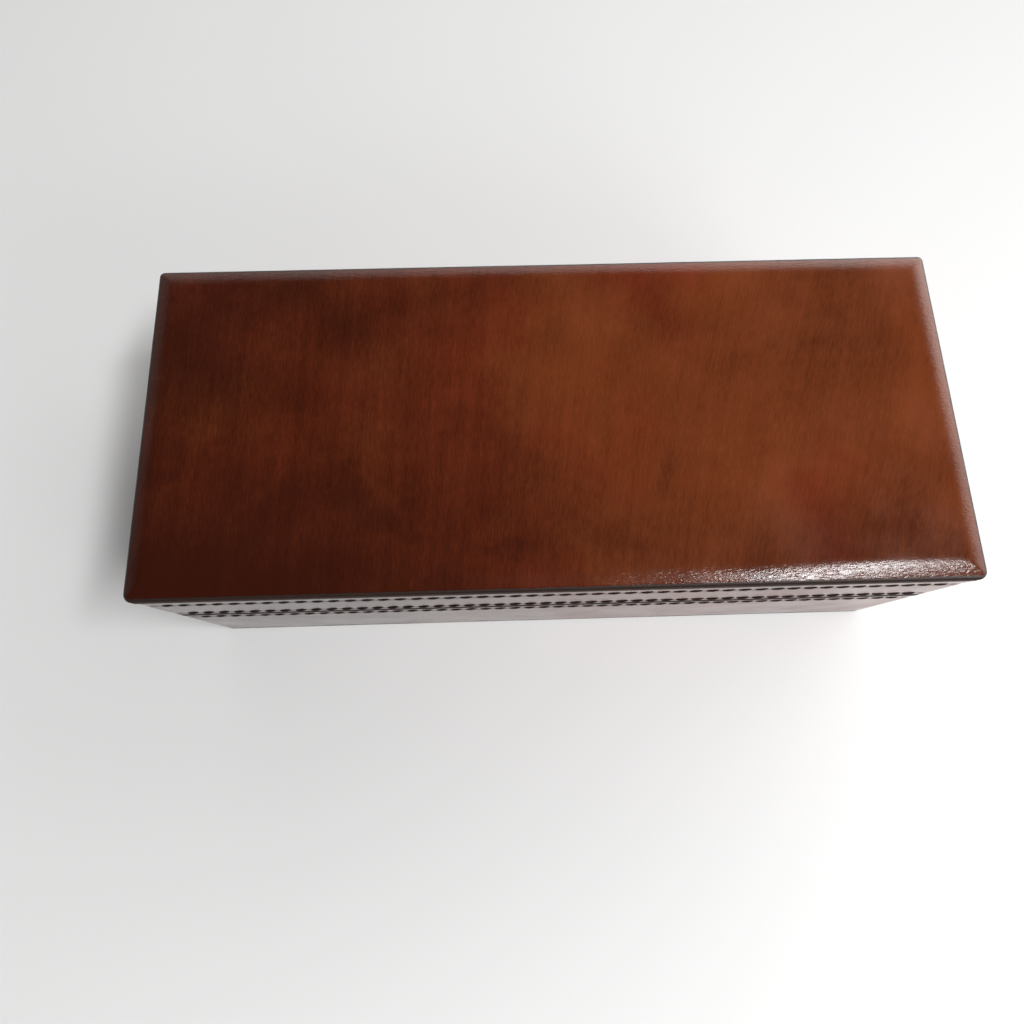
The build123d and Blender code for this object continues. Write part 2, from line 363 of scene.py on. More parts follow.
@finish
def glazed_leather(n):
    """Dyed and glazed leather: mottled brown, brushed streaks, fine creases and painted edges, with painted
    shade towards the left end and the front and in the stitch grooves.
    """
    look = settings("leather")
    x, y, z = n.apart()

    # The brush strokes run across the case, and lean more and more towards its right end
    lean = n.times(y, n.ramp(x, -50 * MM, 70 * MM, 0.03, 0.35))
    end = n.times(y, n.ramp(n.math("ABSOLUTE", x), HALF_LENGTH - 1.7 * MM, HALF_LENGTH - 0.3 * MM))
    across = n.plus(n.math("SUBTRACT", x, lean), end)
    along = n.blend((y, STROKE_STRETCH), (z, STROKE_STRETCH))
    streaks = n.noise(620, 3, 0.6, where=n.point(across, along))
    hairs = n.noise(2900, 2, 0.65, where=n.point(across, n.times(along, 3.0)))

    clouds = n.noise(21, 3, 0.5, distortion=0.8)
    patches = n.noise(75, 4, 0.55)
    # The dye's mottling; painted shade is folded into the same value below, so the light brown shows where
    # the dye is sparse and more light falls.
    thin_and_lit = n.blend((clouds, 0.20), (patches, 0.12), (streaks, 0.09), (hairs, 0.13))
    stains = n.ramp(n.noise(44, 2, 0.5, distortion=0.5), 0.60, 0.74, 0.0, 0.05)
    # Painted shade: darker towards the case's left end and front, where less light falls, and a touch lighter
    # towards the right end.
    painted_shade_left = n.ramp(x, -95 * MM, 35 * MM, -0.125, 0.02)
    painted_shade_front = n.ramp(y, -36 * MM, 0.0, -0.05, 0.0)
    thin_and_lit = n.math("SUBTRACT", n.plus(thin_and_lit, n.plus(painted_shade_left, painted_shade_front)), stains)
    thin_and_lit = n.ramp(thin_and_lit, 0.09, 0.39)
    # The right end leans towards the light brown and its painted sheen.
    ruddier_left = n.ramp(x, -40 * MM, 70 * MM, 0.06, -0.10)
    ruddy = n.ramp(n.plus(n.noise(34, 2, 0.5), ruddier_left), 0.40, 0.60)
    brown = n.mix(thin_and_lit, look.dark, n.mix(ruddy, look.light, look.red))
    pores = n.ramp(n.cells(2300), 0.0, 0.2, 0.35, 0.0)
    brown = n.mix(pores, brown, look.dark)
    chosen = n.ramp(n.cells(80, output="Color"), 0.93, 0.95)
    specks = n.times(n.ramp(n.cells(80), 0.012, 0.026, 1.0, 0.0), chosen)
    brown = n.mix(n.times(specks, 0.45), brown, RAW_LEATHER)
    # Painted shade: the leather is darkened towards the edge paint's colour in the stitch grooves and in the
    # hinge's crease, as the seam layer marks them.
    brown = n.mix(n.ramp(n.attribute("seam"), 0.2, 1.0, 0.0, 0.8), brown, look.paint)
    edge = n.attribute("edge")
    brown = n.mix(n.ramp(edge, 0.0, 0.75, 0.0, 0.75), brown, look.dark)
    painted = n.ramp(n.plus(edge, n.times(n.noise(650, 3), 0.5)), 0.62, 0.85)
    colour = n.mix(painted, brown, look.paint)

    creases = n.noise(2300, 2, 0.6, where=n.stretched((0.3, 1, 0.7)), distortion=1.0)
    grain = n.cells(2600, feature="SMOOTH_F1")
    folded = n.ramp(n.attribute("fold"), 0.05, 0.5, 0.5, 3.6)
    height = n.blend((creases, folded), (grain, 0.15), (hairs, 0.1))
    fine = n.bump(height, 0.02 * MM, 0.9)
    broad = n.bump(n.noise(140, 3, 0.5), 0.2 * MM, 0.3, normal=fine)
    rough = n.ramp(patches, 0.3, 0.75, look.roughness - 0.03, look.roughness + 0.05)
    n.set(
        base_color=colour,
        roughness=n.plus(rough, n.times(painted, 0.3)),
        normal=broad,
        specular_ior_level=0.38,
    )


@finish
def edge_paint(n):
    """Matt paint on the cut edges, a little uneven."""
    look = settings("leather")
    coats = n.noise(420, 4, 0.6)
    n.set(
        base_color=n.mix(n.ramp(coats, 0.35, 0.7), look.paint, tuple(1.7 * c for c in look.paint)),
        roughness=n.ramp(coats, 0.3, 0.7, 0.5, 0.66),
        normal=n.bump(coats, 0.06 * MM, 0.7),
        specular_ior_level=0.07,
    )


@finish
def waxed_thread(n):
    """Waxed dark brown thread with its plies."""
    look = settings("stitching")
    fibres = n.noise(5200, 3, 0.65, where=n.stretched((0.5, 0.5, 1), (0, math.radians(20), 0)))
    dark = tuple(0.45 * c for c in look.colour)
    n.set(
        base_color=n.mix(n.ramp(fibres, 0.35, 0.7), dark, look.colour),
        roughness=n.ramp(fibres, 0.3, 0.7, 0.6, 0.75),
        normal=n.bump(fibres, 0.06 * MM, 0.8),
        specular_ior_level=0.25,
    )


@finish
def brushed_suede(n):
    """Brushed suede: nap in two shades, fine fibres and a soft sheen."""
    look = settings("lining")
    nap = n.noise(60, 5, 0.6, distortion=1.0)
    tufts = n.noise(1500, 4, 0.7)
    fibres = n.noise(4200, 3, 0.7, where=n.stretched((1, 0.5, 0.5), (0, 0, math.radians(30))))
    share = n.blend((nap, 0.6), (tufts, 0.25), (fibres, 0.2))
    height = n.blend((tufts, 0.6), (fibres, 0.5))
    n.set(
        base_color=n.mix(n.ramp(share, 0.38, 0.68), look.shade, look.colour),
        roughness=n.ramp(tufts, 0.3, 0.7, 0.86, 0.98),
        normal=n.bump(height, 0.12 * MM, 0.8),
        sheen_weight=0.45,
        sheen_roughness=0.45,
        specular_ior_level=0.25,
    )


@finish
def greyboard(n):
    """Pressed grey board with flecks of pulp."""
    pulp = n.noise(900, 5, 0.7)
    flecks = n.cells(420)
    base = n.mix(n.ramp(pulp, 0.35, 0.7), (0.20, 0.18, 0.155), (0.33, 0.305, 0.265))
    n.set(
        base_color=n.mix(n.ramp(flecks, 0.05, 0.16, 0.6, 0.0), base, (0.11, 0.095, 0.08)),
        roughness=n.ramp(pulp, 0.3, 0.7, 0.82, 0.95),
        normal=n.bump(pulp, 0.08 * MM, 0.7),
    )


@finish
def plated_magnet(n):
    """Nickel-plated magnet with fine rubs."""
    rubs = n.noise(700, 4, 0.6, where=n.stretched((0.08, 1, 1)))
    n.set(
        base_color=n.mix(n.ramp(rubs, 0.35, 0.7), (0.50, 0.49, 0.47), (0.66, 0.65, 0.63)),
        roughness=n.ramp(rubs, 0.3, 0.7, 0.2, 0.38),
        normal=n.bump(rubs, 0.02 * MM, 0.4),
        metallic=1.0,
    )


@finish
def pale_floor(n):
    """The plain floor."""
    n.set(base_color=rgba(settings("stage").floor), roughness=0.75, specular_ior_level=0.2)


# ---- finishing a piece

CREASE = math.radians(35)
FINISHES = {"glazed_leather": glazed_leather, "thread": waxed_thread, "suede": brushed_suede}


def make_piece(name, bm, slot, stands_for, body=None, paint_from=None):
    """Turns a finished mesh into an object that stands for CAD nodes and rides on a body.

    Faces whose edge layer is over paint_from get the edge paint.
    """
    bmesh.ops.recalc_face_normals(bm, faces=bm.faces)
    mesh = bpy.data.meshes.new(name)
    mesh.materials.append(FINISHES[slot]())
    if paint_from is not None:
        mesh.materials.append(edge_paint())
        edge = bm.verts.layers.float["edge"]
        for face in bm.faces:
            face.material_index = int(min(v[edge] for v in face.verts) > paint_from)
    bm.to_mesh(mesh)
    bm.free()
    mesh.shade_smooth()
    mesh.set_sharp_from_angle(angle=CREASE)
    piece = place_object(name, mesh)
    if body:
        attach(piece, body)
    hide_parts(*stands_for)
    return piece


def place_object(name, data):
    """Puts some data into the scene as an object."""
    thing = bpy.data.objects.new(name, data)
    bpy.context.scene.collection.objects.link(thing)
    return thing


def wander(place, scale, amount, seed=0.0):
    """A smooth uneven amount at a place, with features about one over scale long."""
    return amount * noise.noise(Vector(place) * scale + Vector((seed, 2 * seed, 3 * seed)))


def bell(distance, width):
    """1 in the middle, fading smoothly with distance."""
    return math.exp(-((distance / width) ** 2))


def ends(edges):
    """The points at the ends of some edges."""
    return {v for e in edges for v in e.verts}


def edges_in(geometry):
    """The edges in what a bmesh operator made."""
    return [g for g in geometry if isinstance(g, bmesh.types.BMEdge)]


# ---- rows of stitches


class Row:
    """A row of stitches on one wall: its middle, its direction and its count of stitches."""

    def __init__(self, wall, along, height, length, upright=False):
        self.look = settings("stitching")
        self.wall = wall
        self.along = along
        self.height = height
        self.upright = upright
        self.count = int(length / self.look.pitch)

    def place(self, along, height):
        """A place on the wall, measured along and across the row."""
        right, up = along - self.along, height - self.height
        return (up, -right) if self.upright else (right, up)

    def pull(self, along, height):
        """How far the row pulls the leather in at a place on the wall."""
        look = self.look
        along, across = self.place(along, height)
        past = max(0.0, abs(along) - self.count * look.pitch / 2)
        if abs(across) > 3 * look.groove_reach or past > look.pitch:
            return 0.0
        turn = 2 * math.pi * (along / look.pitch + (0.5 if self.count % 2 == 0 else 0.0))
        middle = look.pitch * math.tan(look.slant) / (2 * math.pi) * math.sin(turn)
        share = bell(past, 0.5 * look.pitch) * bell(across - middle, look.groove_reach)
        return share * (look.groove + look.pucker * math.cos(turn))

    def stitches(self):
        """Where each stitch lies: its middle on the wall and its direction, as an angle."""
        for i in range(self.count):
            along = (i - (self.count - 1) / 2) * self.look.pitch
            if self.upright:
                yield self.along, self.height + along, math.pi / 2 + self.look.slant
            else:
                yield self.along + along, self.height, self.look.slant


def round_rows(height):
    """The rows of stitches at one height on all four walls."""
    clear = settings("stitching").clear
    length, width = 2 * (HALF_LENGTH - clear), 2 * (HALF_WIDTH - clear)
    return [
        Row(wall, 0.0, height, length if wall in ("front", "back") else width) for wall in WALLS
    ]


def seam_rows(low, high):
    """The two upright rows at the back panel's ends."""
    look = settings("stitching")
    along = PANEL_HIGH.x - look.seam_margin
    return [
        Row("back", side * along, (low + high) / 2, high - low - look.pitch, upright=True)
        for side in (-1, 1)
    ]


def all_rows():
    """Every row of stitches on the case, by the piece of thread that it is part of."""
    return {
        "base_rim_thread": round_rows(BASE_ROW),
        "lid_rim_thread": round_rows(LID_ROW),
        "lid_top_thread": round_rows(TOP_ROW),
        "base_seam_thread": seam_rows(SOLE_HIGH.z, BASE_ROW),
        "lid_seam_thread": seam_rows(LID_ROW, TOP_ROW),
    }


def pull_in(sweep):
    """Pulls a wall's outer skin in along the stitching, and notes how far in the seam layer, which the
    leather uses for painted shade in the grooves.
    """
    look = settings("stitching")
    corner = settings("leather").corner_radius
    deepest = look.groove + look.pucker
    rows = [row for group in all_rows().values() for row in group]
    heights = (BASE_ROW, LID_ROW, TOP_ROW)
    for vert in sweep.bm.verts:
        if vert[sweep.skin] < 0.5:
            continue
        x, y, z = vert.co
        at_end, at_side = abs(x) > HALF_LENGTH - corner, abs(y) > HALF_WIDTH - corner
        if at_end and at_side:
            middle = Vector((
                math.copysign(HALF_LENGTH - corner, x), math.copysign(HALF_WIDTH - corner, y), z
            ))
            outwards = (vert.co - middle).normalized()
            pull = 0.0
        else:
            wall = ("back" if y > 0 else "front") if at_side else ("right" if x > 0 else "left")
            outwards, rightwards = WALLS[wall]
            along = vert.co.dot(rightwards)
            pull = max((row.pull(along, z) for row in rows if row.wall == wall), default=0.0)
        faint = look.groove * 0.45  # the groove goes on between the rows
        pull = max(pull, *(faint * bell(z - height, look.groove_reach) for height in heights))
        # The seam layer drives the painted shade in the grooves.
        vert[sweep.seam] = min(1.0, pull / deepest)
        uneven = wander(vert.co, 90, 0.05 * MM) + wander(vert.co, 420, 0.02 * MM)
        vert.co -= outwards * (pull + abs(uneven))


# ---- swept walls


def profile_heights(low, high, rows, coarse=1.6 * MM, fine=0.25 * MM, reach=1.5 * MM):
    """Heights from low to high, close together beside each row of stitches."""
    heights = []
    height = low
    while height < high - 0.5 * fine:
        heights.append(height)
        near = min((abs(height + fine - row) for row in rows), default=1.0)
        step = fine if near < reach else min(coarse, max(fine, near - reach))
        height += step
    return heights + [high]


def arc(middle, radius, start, end, steps):
    """Points on an arc in a profile, as (inset, height)."""
    for i in range(steps + 1):
        angle = math.radians(start + (end - start) * i / steps)
        yield middle[0] + radius * math.cos(angle), middle[1] + radius * math.sin(angle)


def upside_down(points, low, high):
    """A profile's points, mirrored between two heights."""
    return [(inset, low + high - z, edge) for inset, z, edge in points]


class Sweep:
    """Sweeps a closed profile round the case's walls. The profile's points are (inset, height)."""

    def __init__(self):
        self.bm = bmesh.new()
        self.skin = self.bm.verts.layers.float.new("skin")
        self.edge = self.bm.verts.layers.float.new("edge")
        self.seam = self.bm.verts.layers.float.new("seam")
        self.legs = []

    def profile(self, points, x, capped=True):
        """Lays a closed profile on the back wall at x. Points are (inset, height, edge)."""
        verts = []
        for inset, height, edge in points:
            vert = self.bm.verts.new((x, HALF_WIDTH - inset, height))
            vert[self.edge] = edge
            vert[self.skin] = 1.0 if inset < 1e-7 else 0.0
            verts.append(vert)
        if capped:
            return list(self.bm.faces.new(verts).edges)
        return [self.bm.edges.new(pair) for pair in zip(verts, verts[1:] + verts[:1])]

    def spin(self, edges, steps, middle=(0, 0, 0), angle=0.0, step=(0, 0, 0)):
        """Extrudes the profile in steps, in a line or round an upright axis."""
        made = bmesh.ops.spin(
            self.bm, geom=[*ends(edges), *edges], cent=middle, axis=(0, 0, 1), dvec=step, angle=angle,
            steps=steps,
        )
        return edges_in(made["geom_last"])

    def straight(self, edges, length, direction, cell):
        """Extrudes the profile in a straight line, to be divided into cells later."""
        start = ends(edges)
        far = self.spin(edges, 1, step=Vector(direction) * length)
        along = [e for v in ends(far) for e in v.link_edges if e.other_vert(v) in start]
        self.legs.append((along, max(0, round(length / cell) - 1)))
        return far

    def round_the_walls(self, edges, start, corner, cell, corner_steps=8):
        """Takes the profile from +start on the back wall, round all four corners, to -start."""
        length, width = HALF_LENGTH - corner, HALF_WIDTH - corner
        legs = (
            (length - start, (1, 0, 0), (length, width)),
            (2 * width, (0, -1, 0), (length, -width)),
            (2 * length, (-1, 0, 0), (-length, -width)),
            (2 * width, (0, 1, 0), (-length, width)),
        )
        for leg, direction, middle in legs:
            edges = self.straight(edges, leg, direction, cell)
            edges = self.spin(edges, corner_steps, middle=(*middle, 0), angle=-math.pi / 2)
        return self.straight(edges, length - start, (1, 0, 0), cell)

    def cap(self, edges):
        """Closes the end of a sweep."""
        bmesh.ops.contextual_create(self.bm, geom=edges)

    def divide(self):
        """Divides the straight legs into their cells."""
        for along, cuts in self.legs:
            bmesh.ops.subdivide_edges(self.bm, edges=along, cuts=cuts)
        self.legs = []


def wall_profile(low, high, rows, rim_at_top):
    """The outline of a leather wall: a fine outer skin, a rounded and painted rim and a plain inside."""
    rim = settings("leather").rim_round
    steps = 5
    heights = profile_heights(low, high - rim, [*rows, high])
    reach = settings("leather").rim_paint
    outer = [(0.0, z, max(0.0, 1 - (high - rim - z) / reach)) for z in heights]
    turned = [(inset, z, 1.0) for inset, z in arc((rim, high - rim), rim, 180, 90, steps)][1:]
    points = [*outer, *turned, (WALL_LEATHER, high, 1.0), (WALL_LEATHER, low, 0.0)]
    return points if rim_at_top else upside_down(points, low, high)


def leather_wall(low, high, rows, rim_at_top, body):
    """One leather wall, from one end of the back panel round to the other."""
    name = body + "_wall"
    look = settings("leather")
    sweep = Sweep()
    mirrored = [low + high - row for row in rows] if not rim_at_top else rows
    edges = sweep.profile(wall_profile(low, high, mirrored, rim_at_top), GAP_HALF)
    cell = settings("stitching").pitch / 8
    sweep.cap(sweep.round_the_walls(edges, GAP_HALF, look.corner_radius, cell))
    sweep.divide()
    pull_in(sweep)
    make_piece(name, sweep.bm, "glazed_leather", [name + "_leather"], body, paint_from=0.5)


class CASE_OT_wall_leathers(bpy.types.Operator):
    """Make the leather round the base's walls and the lid's walls"""

    bl_idname = "case.wall_leathers"
    bl_label = "Wall Leathers"

    def execute(self, context):
        leather_wall(BASE_LOW.z, BASE_HIGH.z, [BASE_ROW], True, "base")
        leather_wall(LID_LOW.z, LID_HIGH.z, [LID_ROW, TOP_ROW], False, "lid")
        return {"FINISHED"}


class CASE_OT_hinge_leather(bpy.types.Operator):
    """Make the panel that covers both back walls and bends between them"""

    bl_idname = "case.hinge_leather"
    bl_label = "Hinge Leather"

    def execute(self, context):
        sweep = Sweep()
        heights = profile_heights(PANEL_LOW.z, PANEL_HIGH.z, [BASE_ROW, PARTING, LID_ROW, TOP_ROW])
        outer = [(0.0, z, 0.0) for z in heights]
        thinned, thinned_half = 0.45 * MM, 1.2 * MM  # the panel is pared where it bends
        inner = [
            (WALL_LEATHER - thinned * bell(z - PARTING, thinned_half), z, 0.0) for z in reversed(heights)
        ]
        edges = sweep.profile(outer + inner, PANEL_HIGH.x)
        cell = settings("stitching").pitch / 8
        sweep.cap(sweep.straight(edges, 2 * PANEL_HIGH.x, (-1, 0, 0), cell))
        sweep.divide()
        cut_edge = 0.45 * MM
        for vert in sweep.bm.verts:
            vert[sweep.edge] = max(0.0, 1 - (PANEL_HIGH.x - abs(vert.co.x)) / cut_edge)
        pull_in(sweep)
        for vert in sweep.bm.verts:
            if vert[sweep.skin] > 0.5:
                crease = 0.22 * MM * bell(vert.co.z - PARTING, 0.5 * MM)
                vert.co.y -= crease
                # The crease also gets painted shade through the seam layer.
                vert[sweep.seam] = max(vert[sweep.seam], crease / (0.4 * MM))
        panel = make_piece("hinge_panel", sweep.bm, "glazed_leather", ["hinge_leather"], paint_from=0.9)
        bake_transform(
            panel, "base", "lid",
            start=(0, HALF_WIDTH, PARTING - BEND_HALF), end=(0, HALF_WIDTH, PARTING + BEND_HALF),
        )
        return {"FINISHED"}


# ---- top and sole


def rounded_grid(bm, cells_long, cells_wide, radius):
    """A flat sheet with round corners, its cells packed towards its edges."""
    packing = 0.78
    bmesh.ops.create_grid(bm, x_segments=cells_long, y_segments=cells_wide, size=1.0)
    for vert in bm.verts:
        x = HALF_LENGTH * (vert.co.x + packing * math.sin(vert.co.x * math.pi) / math.pi)
        y = HALF_WIDTH * (vert.co.y + packing * math.sin(vert.co.y * math.pi) / math.pi)
        corner = radius(y)
        past_x, past_y = abs(x) - (HALF_LENGTH - corner), abs(y) - (HALF_WIDTH - corner)
        if past_x > 0 and past_y > 0:
            squeeze = max(past_x, past_y) / math.hypot(past_x, past_y)
            x = math.copysign(HALF_LENGTH - corner + past_x * squeeze, x)
            y = math.copysign(HALF_WIDTH - corner + past_y * squeeze, y)
        vert.co = (x, y, 0)


def inwards(x, y, corner):
    """How far a place on a rounded sheet is from its outline."""
    past_x = abs(x) - (HALF_LENGTH - corner)
    past_y = abs(y) - (HALF_WIDTH - corner)
    if past_x > 0 and past_y > 0:
        return corner - math.hypot(past_x, past_y)
    return corner - max(past_x, past_y)


def fall(inset, round_off, border, drop, power):
    """How far a slab's face has fallen at a distance from its outline."""
    fallen = 0.0
    if inset < border:
        fallen = drop * ((border - inset) / border) ** power
    if inset < round_off:
        fallen += round_off - math.sqrt(max(0.0, round_off**2 - (round_off - inset) ** 2))
    return fallen


def leather_slab(face, back, border, drop, cells, seed, corners, recess=None):
    """A thick leather slab with its face at one height and its back at another.

    Its corners are given as their radius at the front and at the back.
    A recess in the back is given as its outline's inset, the width of its slope and its depth.
    """
    look = settings("leather")
    up = 1 if face > back else -1
    bm = bmesh.new()
    edge = bm.verts.layers.float.new("edge")
    fold = bm.verts.layers.float.new("fold")

    def radius(y):
        return corners[int(y > 0)]

    rounded_grid(bm, *cells, radius)
    for vert in bm.verts:
        x, y, _ = vert.co
        inset = inwards(x, y, radius(y))
        fallen = fall(inset, look.edge_round, border, drop, look.border_power)
        swell = wander((x, y, seed), 55, look.swell) * min(1.0, inset / border) if drop else 0.0
        vert.co.z = face - up * fallen + min(0.0, swell)
        vert[edge] = max(0.0, min(1.0, 1 - (inset - 0.3 * look.edge_round) / look.paint_reach))
        vert[fold] = max(0.0, 1 - inset / border)
    rim = [e for e in bm.edges if e.is_boundary]
    for share in (0.35, 0.8, 1.0):
        rim = extrude_rim(bm, rim, edge)
        for vert in ends(rim):
            vert.co.z += (back - vert.co.z) * share
    for vert in bm.verts:
        inset = inwards(vert.co.x, vert.co.y, radius(vert.co.y))
        if inset < look.edge_round:
            middle = Vector((vert.co.x, vert.co.y, 0)).normalized()
            share = 1 - inset / look.edge_round
            uneven = wander(vert.co, 28, look.waviness, seed) + wander(vert.co, 190, 0.3 * look.waviness)
            vert.co -= middle * share * abs(uneven)
    if recess:
        inset, slope, depth = recess
        for inset, rise in ((inset, 0.0), (inset + slope, depth)):
            rim = extrude_rim(bm, rim, edge)
            for vert in ends(rim):
                length, width = HALF_LENGTH - inset, HALF_WIDTH - inset
                vert.co.x = max(-length, min(length, vert.co.x))
                vert.co.y = max(-width, min(width, vert.co.y))
                vert.co.z = back + up * rise
    bmesh.ops.remove_doubles(bm, verts=bm.verts, dist=0.001 * MM)
    bmesh.ops.contextual_create(bm, geom=[e for e in bm.edges if e.is_boundary])
    return bm


def extrude_rim(bm, rim, edge):
    """Extrudes an open rim in place, and marks it as painted."""
    made = bmesh.ops.extrude_edge_only(bm, edges=rim)["geom"]
    for vert in made:
        if isinstance(vert, bmesh.types.BMVert):
            vert[edge] = 1.0
    return edges_in(made)


class CASE_OT_top_leather(bpy.types.Operator):
    """Make the thick top leather with its raised field and painted edge"""

    bl_idname = "case.top_leather"
    bl_label = "Top Leather"

    def execute(self, context):
        look = settings("leather")
        inset = HALF_LENGTH - FILLER_HIGH.x
        recess = (inset, inset, FILLER_HIGH.z - FILLER_LOW.z)
        corners = (look.front_corner, look.back_corner)
        bm = leather_slab(
            TOP_HIGH.z, TOP_LOW.z, look.border, look.border_drop, (170, 100), 1.0, corners, recess
        )
        make_piece("top_leather", bm, "glazed_leather", ["lid_top_leather"], "lid", paint_from=0.75)
        return {"FINISHED"}


class CASE_OT_bottom_leather(bpy.types.Operator):
    """Make the sole under the base"""

    bl_idname = "case.bottom_leather"
    bl_label = "Bottom Leather"

    def execute(self, context):
        look = settings("leather")
        corners = (look.corner_radius,) * 2
        bm = leather_slab(SOLE_LOW.z, SOLE_HIGH.z, look.edge_round, 0.0, (120, 70), 5.0, corners)
        make_piece("sole_leather", bm, "glazed_leather", ["base_bottom_leather"], "base", paint_from=0.6)
        return {"FINISHED"}


# ---- stitches


def stitch_mesh(look):
    """One stitch, lying along X and standing out along Y: a two-ply bar whose ends dive in."""
    bm = bmesh.new()
    bmesh.ops.create_uvsphere(bm, u_segments=8, v_segments=8, radius=1.0)
    bmesh.ops.rotate(bm, verts=bm.verts, matrix=Matrix.Rotation(math.pi / 2, 3, "Y"))
    half, radius = look.stitch / 2, look.thread / 2
    for vert in bm.verts:
        along = max(-1.0, min(1.0, vert.co.x))
        spread = math.acos(along) / math.pi * 2 - 1  # even steps from end to end
        reach = math.copysign(abs(spread) ** 0.8, spread)
        thick = (1 - abs(reach) ** 5) ** 0.5
        around = math.atan2(vert.co.z, vert.co.y)
        depth = radius * thick * (1 + 0.12 * math.cos(2 * around + 5.0 * reach))
        dive = 0.75 * radius * abs(reach) ** 5
        vert.co = (-reach * half, depth * math.cos(around) - dive, depth * math.sin(around))
    mesh = bpy.data.meshes.new("stitch")
    bm.to_mesh(mesh)
    bm.free()
    return mesh


def stitch_place(row, along, height, angle, jitter):
    """The transform that lays one stitch on a wall."""
    look = row.look
    outwards, rightwards = WALLS[row.wall]
    reach = HALF_WIDTH if row.wall in ("front", "back") else HALF_LENGTH
    proud = look.proud + (look.bold if row.height == LID_ROW else 0.0)
    lift = proud - look.thread / 2 * 1.12
    middle = outwards * (reach + lift) + rightwards * along + Vector((0, 0, height))
    tilt = Matrix.Rotation(-(angle + jitter), 3, "Y")
    turn = Matrix((rightwards, outwards, Vector((0, 0, 1)))).transposed()
    return Matrix.Translation(middle) @ (turn @ tilt).to_4x4()


class CASE_OT_stitches(bpy.types.Operator):
    """Make every row of stitches, one piece for each row round the case"""

    bl_idname = "case.stitches"
    bl_label = "Stitches"

    def execute(self, context):
        look = settings("stitching")
        stitch = stitch_mesh(look)
        draw = random.Random(11)
        for name, rows in all_rows().items():
            bm = bmesh.new()
            for row in rows:
                for along, height, angle in row.stitches():
                    first = len(bm.verts)
                    bm.from_mesh(stitch)
                    bm.verts.ensure_lookup_table()
                    shift = draw.uniform(-0.06, 0.06) * MM
                    place = stitch_place(row, along + shift, height, angle, math.radians(draw.uniform(-3, 3)))
                    bmesh.ops.transform(bm, matrix=place, verts=bm.verts[first:])
            body, where, thread = name.split("_")
            make_piece(f"{body}_{where}_stitches", bm, thread, [name], body)
        bpy.data.meshes.remove(stitch)
        return {"FINISHED"}


# ---- linings


def lining_profile(low, high, foot, top, turn):
    """The suede on a wall: its glued back, its turned-over flange and its soft face."""
    face = [(SUEDE_FACE, z) for z in profile_heights(low, high - turn, [])]
    bend = list(arc((SUEDE_FACE - turn, high - turn), turn, 0, 90, 4))[1:]
    back = [(foot, high), (foot, top), (LINING_INSET, top), (LINING_INSET, low)]
    return [(inset, z, 0.0) for inset, z in (*face, *bend, *back)]


def wall_lining(low, high, body, rim_at_top):
    """The suede inside four walls, with the place of the hinge's inner strip left out."""
    look = settings("lining")
    strip = STRIP_LOW.z if rim_at_top else STRIP_HIGH.z
    sweep = Sweep()
    corner = SUEDE_FACE + look.corner
    cell = 2.5 * MM

    def turned(points):
        return points if rim_at_top else upside_down(points, low, high)

    above = strip if rim_at_top else low + high - strip
    upper = lining_profile(above, high, WALL_LEATHER, high - SUEDE, look.turn)
    edges = sweep.profile(turned(upper), GAP_HALF)
    sweep.cap(sweep.round_the_walls(edges, GAP_HALF, corner, cell))
    plain = [(SUEDE_FACE, z, 0.0) for z in profile_heights(low, above, [])]
    plain += [(LINING_INSET, above, 0.0), (LINING_INSET, low, 0.0)]
    edges = sweep.profile(turned(plain), 0.0, capped=False)
    sweep.round_the_walls(edges, 0.0, corner, cell)
    sweep.divide()
    join = [v for v in sweep.bm.verts if abs(v.co.x) < SAME_PLACE and v.co.y > 0]
    bmesh.ops.remove_doubles(sweep.bm, verts=join, dist=SAME_PLACE)
    for vert in sweep.bm.verts:
        uneven = abs(wander(vert.co, 120, look.swell, 3.0))
        x, y, z = vert.co
        if abs(abs(y) - (HALF_WIDTH - SUEDE_FACE)) < SAME_PLACE:
            vert.co.y += math.copysign(uneven, y)
        elif abs(abs(x) - (HALF_LENGTH - SUEDE_FACE)) < SAME_PLACE:
            vert.co.x += math.copysign(uneven, x)
    make_piece(body + "_suede", sweep.bm, "suede", [body + "_wall_lining"], body)


class CASE_OT_wall_linings(bpy.types.Operator):
    """Make the suede inside the base's walls and the lid's walls"""

    bl_idname = "case.wall_linings"
    bl_label = "Wall Linings"

    def execute(self, context):
        wall_lining(BASE_LINING_LOW.z, BASE_LINING_HIGH.z, "base", True)
        wall_lining(LID_LINING_LOW.z, LID_LINING_HIGH.z, "lid", False)
        return {"FINISHED"}


